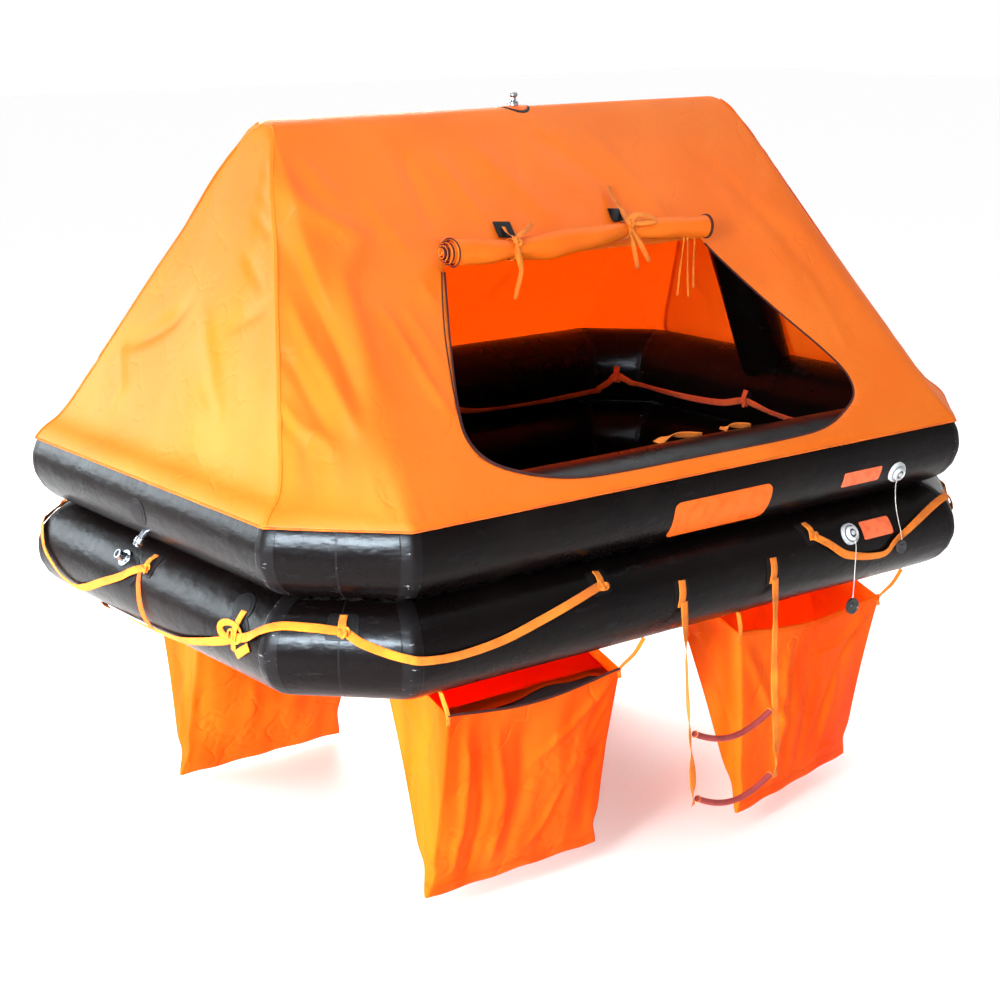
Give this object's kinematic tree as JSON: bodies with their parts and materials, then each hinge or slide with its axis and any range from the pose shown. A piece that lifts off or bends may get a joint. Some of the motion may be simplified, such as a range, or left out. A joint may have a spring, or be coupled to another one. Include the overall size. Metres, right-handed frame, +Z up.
{
  "type": "inflatable life raft",
  "caption": "Inflatable life raft with stacked buoyancy tubes, a ridge canopy with an open door, hanging ballast pockets, webbing lifelines and a swinging boarding ladder.",
  "frame": {"origin": "middle of the raft on its light waterline, 20 mm above the underside of the lower tube", "axes": "+X along the ridge, the door faces -Y, +Z up"},
  "size_m": [2.7329, 1.9831, 2.2886],
  "materials": {
    "tube_rubber": "glossy coated cloth",
    "floor_cloth": "satin coated cloth",
    "canopy_cloth": "thin coated cloth",
    "pocket_cloth": "thin coated cloth",
    "webbing": "woven",
    "rung_tube": "soft plastic tube",
    "sign_film": "retro-reflective film",
    "valve_plastic": "moulded",
    "cap_rubber": "moulded",
    "thin_cord": "braided",
    "plated_metal": "plated",
    "lamp_plastic": "clear dome on a plated base"
  },
  "bodies": {
    "raft": {"lower_tube": "tube_rubber", "upper_tube": "tube_rubber", "arch_tube": "tube_rubber", "floor_sheet": "floor_cloth", "canopy_front": "canopy_cloth", "canopy_back": "canopy_cloth", "canopy_left": "canopy_cloth", "canopy_right": "canopy_cloth", "door_roll": "canopy_cloth", "door_tie_left": "webbing", "door_tie_right": "webbing", "tie_patch_left": "tube_rubber", "tie_patch_right": "tube_rubber", "lamp_patch": "canopy_cloth", "ridge_lamp": "lamp_plastic", "ballast_pocket_front_left": "pocket_cloth", "ballast_pocket_front_right": "pocket_cloth", "ballast_pocket_rear_left": "pocket_cloth", "ballast_pocket_rear_right": "pocket_cloth", "ladder_patch_left": "webbing", "ladder_patch_right": "webbing", "boarding_sign": "sign_film", "label_upper": "sign_film", "label_lower": "sign_film", "valve_upper": "valve_plastic", "valve_lower": "valve_plastic", "valve_cap_upper": "cap_rubber", "valve_cap_lower": "cap_rubber", "lanyard_upper": "thin_cord", "lanyard_lower": "thin_cord", "inflation_inlet": "plated_metal", "hose_fitting": "plated_metal", "lifeline_rear": "webbing", "lifeline_front": "webbing", "inner_lifeline": "webbing", "bridle": "webbing", "bridle_patch": "tube_rubber"},
    "ladder": {"ladder_strap_left": "webbing", "ladder_strap_right": "webbing", "ladder_rung_upper": "rung_tube", "ladder_rung_lower": "rung_tube"}
  },
  "joints": [
    {"name": "ladder_swing", "type": "hinge", "parent": "raft", "child": "ladder", "pos_m": [0.059, -0.9801, 0.10613], "axis": [-1, 0, 0], "range_deg": [-8, 90]}
  ]
}
